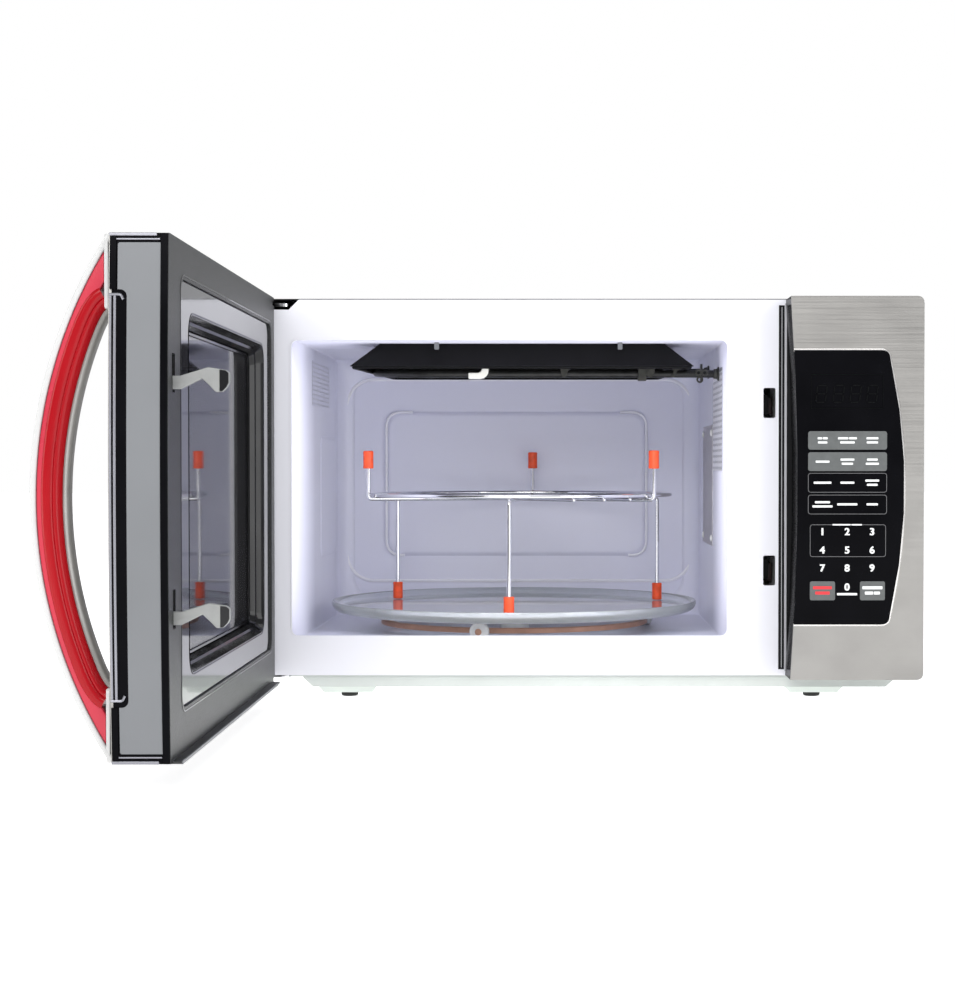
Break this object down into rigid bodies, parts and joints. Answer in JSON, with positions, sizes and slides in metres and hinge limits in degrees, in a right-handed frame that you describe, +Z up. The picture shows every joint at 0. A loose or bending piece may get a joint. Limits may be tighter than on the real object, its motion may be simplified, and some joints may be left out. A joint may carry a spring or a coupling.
{
  "type": "microwave oven",
  "caption": "Countertop microwave oven with grill, side-hinged door with bowed handle, glass turntable on rollers and a wire rack, door open.",
  "frame": {"origin": "middle of the footprint with the door open as stored, on the surface that the feet stand on", "axes": "+Z up, +Y from the door and control panel to the back, +X to the right as seen from the front"},
  "size_m": [0.599, 0.831, 0.3282],
  "materials": {
    "enamel": "smooth white enamel",
    "black_paint": "fine textured black paint",
    "zinc_steel": "galvanised sheet",
    "brushed_steel": "brushed stainless steel",
    "black_plastic": "satin black moulding",
    "gloss_black": "glossy black",
    "choke_grey": "fine grained dark grey moulding",
    "dark_glass": "dark reflective glass",
    "seal_enamel": "glossy dark enamel",
    "clear_film": "clear glossy film",
    "hook_grey": "satin grey moulding",
    "chrome": "bright chrome",
    "red_gloss": "high gloss red",
    "white_gloss": "gloss white",
    "silver_plastic": "satin silver grey",
    "plate_glass": "clear moulded glass",
    "tan_plastic": "tan heat-resistant plastic",
    "white_plastic": "white moulding",
    "silicone": "orange-red silicone",
    "reflector_black": "heat-resistant black coating",
    "element_black": "dark oxidised tube",
    "ceramic": "white glazed ceramic",
    "mica": "silvery mica sheet",
    "circuit_board": "green board with components",
    "copper_core": "varnished laminations and winding",
    "rubber_black": "black rubber",
    "switch_red": "red switch body"
  },
  "bodies": {
    "cabinet": {"front_plate": "enamel", "cavity_liner": "enamel", "outer_cover": "black_paint", "rear_panel": "zinc_steel", "base_pan": "zinc_steel", "foot_front_left": "rubber_black", "foot_front_right": "rubber_black", "foot_rear_left": "rubber_black", "foot_rear_right": "rubber_black", "hinge_bracket_upper": "chrome", "hinge_bracket_lower": "chrome", "control_housing": "black_plastic", "control_fascia": "brushed_steel", "keypad_panel": "gloss_black", "display_lens": "gloss_black", "control_board": "circuit_board", "turntable_motor": "zinc_steel", "grill_reflector": "reflector_black", "grill_element": "element_black", "element_hook_white": "ceramic", "element_hook_grey": "hook_grey", "element_clip": "zinc_steel", "waveguide_cover": "mica", "waveguide": "zinc_steel", "magnetron": "zinc_steel", "transformer": "copper_core", "capacitor": "zinc_steel", "fan_motor": "zinc_steel", "fan_shroud": "black_plastic", "cavity_lamp": "white_plastic", "latch_board": "white_plastic", "door_switch_lower": "switch_red", "door_switch_upper": "switch_red", "cord_gland": "rubber_black"},
    "door": {"door_frame": "black_plastic", "door_front": "brushed_steel", "door_window": "dark_glass", "choke_cover": "choke_grey", "choke_panel": "seal_enamel", "door_screen": "seal_enamel", "door_film": "clear_film", "latch_spring": "zinc_steel", "handle_trim": "white_gloss", "handle_grip": "red_gloss", "handle_backing": "silver_plastic"},
    "latch": {"latch_slider": "hook_grey"},
    "coupler": {"drive_coupler": "white_plastic"},
    "plate": {"glass_turntable": "plate_glass"},
    "ring": {"roller_ring": "tan_plastic"},
    "roller_a": {"roller_1": "white_plastic"},
    "roller_b": {"roller_2": "white_plastic"},
    "roller_c": {"roller_3": "white_plastic"},
    "rack": {"rack_frame": "chrome", "rack_foot_1": "silicone", "rack_foot_2": "silicone", "rack_foot_3": "silicone", "rack_tip_1": "silicone", "rack_tip_2": "silicone", "rack_tip_3": "silicone"},
    "fan": {"fan_blade": "black_plastic"}
  },
  "joints": [
    {"name": "door_hinge", "type": "hinge", "parent": "cabinet", "child": "door", "pos_m": [-0.23289, 0.01378, 0.1743], "axis": [0, 0, 1], "range_deg": [-8.5, 89.5]},
    {"name": "latch_slide", "type": "slide", "parent": "door", "child": "latch", "axis": [0, 0, 1], "range_m": [0, 0.005], "stiffness_N_per_m": 200, "springref_m": -0.004, "deforming": ["latch_spring"]},
    {"name": "turntable_spin", "type": "hinge", "parent": "cabinet", "child": "coupler", "pos_m": [-0.03109, 0.19798, 0.0543], "axis": [0, 0, 1], "continuous": true},
    {"name": "plate_lift", "type": "slide", "parent": "coupler", "child": "plate", "axis": [0, 0, 1], "range_m": [0, 0.02]},
    {"name": "rack_lift", "type": "slide", "parent": "plate", "child": "rack", "axis": [0, 0, 1], "range_m": [0, 0.035]},
    {"name": "ring_spin", "type": "hinge", "parent": "cabinet", "child": "ring", "pos_m": [-0.03109, 0.19798, 0.0513], "axis": [0, 0, 1], "continuous": true},
    {"name": "roller_a_spin", "type": "hinge", "parent": "ring", "child": "roller_a", "pos_m": [-0.05749, 0.07376, 0.0533], "axis": [-0.2079, -0.9781, 0], "continuous": true},
    {"name": "roller_b_spin", "type": "hinge", "parent": "ring", "child": "roller_b", "pos_m": [0.0897, 0.23723, 0.0533], "axis": [0.9511, 0.309, 0], "continuous": true},
    {"name": "roller_c_spin", "type": "hinge", "parent": "ring", "child": "roller_c", "pos_m": [-0.12547, 0.28296, 0.0533], "axis": [-0.7431, 0.6691, 0], "continuous": true},
    {"name": "fan_spin", "type": "hinge", "parent": "cabinet", "child": "fan", "pos_m": [0.23091, 0.36498, 0.1493], "axis": [0, 1, 0], "continuous": true}
  ],
  "couplings": [
    {"joint": "ring_spin", "follows": "turntable_spin", "ratio": 0.5},
    {"joint": "roller_a_spin", "follows": "turntable_spin", "ratio": -7.9375},
    {"joint": "roller_b_spin", "follows": "turntable_spin", "ratio": -7.9375},
    {"joint": "roller_c_spin", "follows": "turntable_spin", "ratio": -7.9375}
  ]
}
